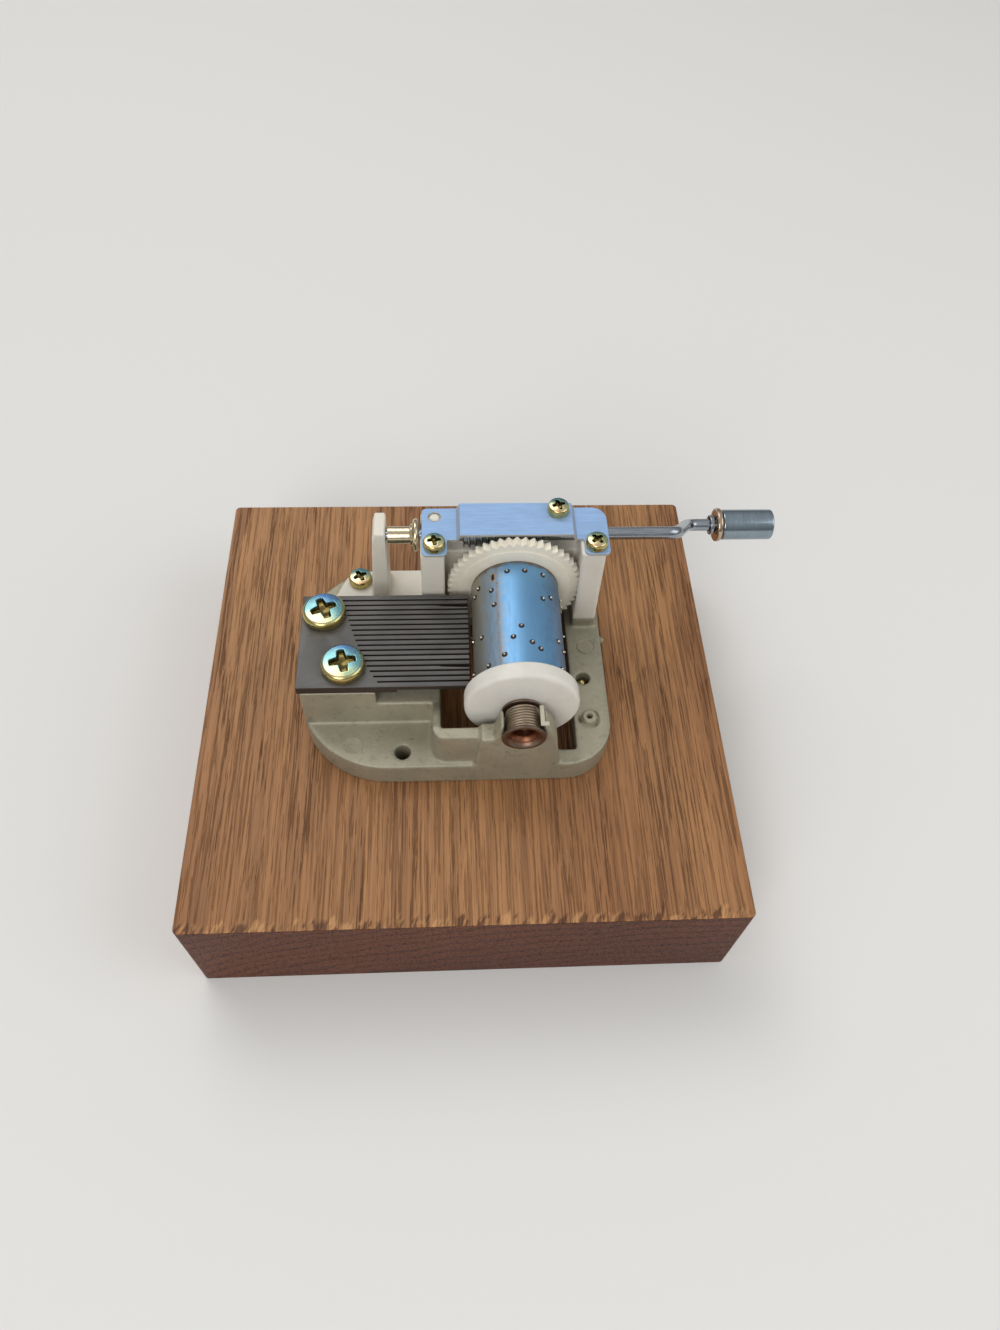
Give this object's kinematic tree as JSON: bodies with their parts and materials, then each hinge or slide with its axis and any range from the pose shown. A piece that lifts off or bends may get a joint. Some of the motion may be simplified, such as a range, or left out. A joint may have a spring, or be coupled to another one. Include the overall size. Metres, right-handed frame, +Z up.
{
  "type": "hand-cranked music box movement",
  "caption": "Hand-cranked comb music movement on an oak block: worm-driven pinned cylinder, steel comb, zinc bedplate, bent crank with knob.",
  "frame": {"origin": "middle of the oak block's underside", "axes": "+X along the crank shaft, from the comb to the crank's knob; +Y from the drum's open spool to its gear; +Z up"},
  "size_m": [0.0991, 0.086, 0.05],
  "materials": {
    "oak": "open grain, thin satin oil, eased edges",
    "zinc_casting": "as-cast zinc alloy, dull, fine pitted skin",
    "comb_steel": "ground hardened steel, grey, fine grinding lines along the teeth",
    "lead": "dull lead",
    "bright_zinc_steel": "bright blue-white zinc plate, soft gloss",
    "yellow_zinc": "yellow chromate with an iridescent sheen",
    "white_nylon": "white moulded nylon, soft sheen",
    "cream_nylon": "translucent natural nylon, matte",
    "nickel_steel": "nickel plated wire, drawn lines",
    "bright_chrome": "turned and bright plated",
    "copper": "copper tube, browned",
    "spring_steel": "oiled spring wire",
    "cream_plastic": "cream strip, matte"
  },
  "bodies": {
    "base": {"base_block": "oak", "bedplate": "zinc_casting", "comb": "comb_steel", "top_plate": "bright_zinc_steel", "gear_bracket": "cream_nylon", "wrap_spring": "spring_steel", "spring_stop": "cream_plastic", "comb_screw_rear": "yellow_zinc", "comb_screw_front": "yellow_zinc", "bracket_screw": "yellow_zinc", "plate_screw_left": "yellow_zinc", "plate_screw_right": "yellow_zinc", "plate_screw_rear": "yellow_zinc", "base_screw_1": "yellow_zinc", "base_screw_2": "yellow_zinc", "base_screw_3": "yellow_zinc", "tooth_weight_1": "lead", "tooth_weight_2": "lead", "tooth_weight_3": "lead", "tooth_weight_4": "lead", "tooth_weight_5": "lead", "tooth_weight_6": "lead"},
    "drum": {"music_cylinder": "bright_zinc_steel", "drum_gear": "white_nylon", "drum_cap": "white_nylon", "arbor": "nickel_steel", "spool": "copper"},
    "crank": {"crank_wire": "nickel_steel", "worm": "nickel_steel", "end_sleeve": "nickel_steel", "knob_collar": "nickel_steel"},
    "knob": {"crank_knob": "bright_chrome"}
  },
  "joints": [
    {"name": "crank_turn", "type": "hinge", "parent": "base", "child": "crank", "pos_m": [0, 0.01458, 0.0454], "axis": [1, 0, 0], "continuous": true},
    {"name": "drum_turn", "type": "hinge", "parent": "base", "child": "drum", "pos_m": [0.00885, 0, 0.0373], "axis": [0, 1, 0], "continuous": true},
    {"name": "knob_spin", "type": "hinge", "parent": "crank", "child": "knob", "pos_m": [0.05, 0.02288, 0.03818], "axis": [1, 0, 0], "continuous": true}
  ],
  "couplings": [
    {"joint": "drum_turn", "follows": "crank_turn", "ratio": -0.02}
  ]
}
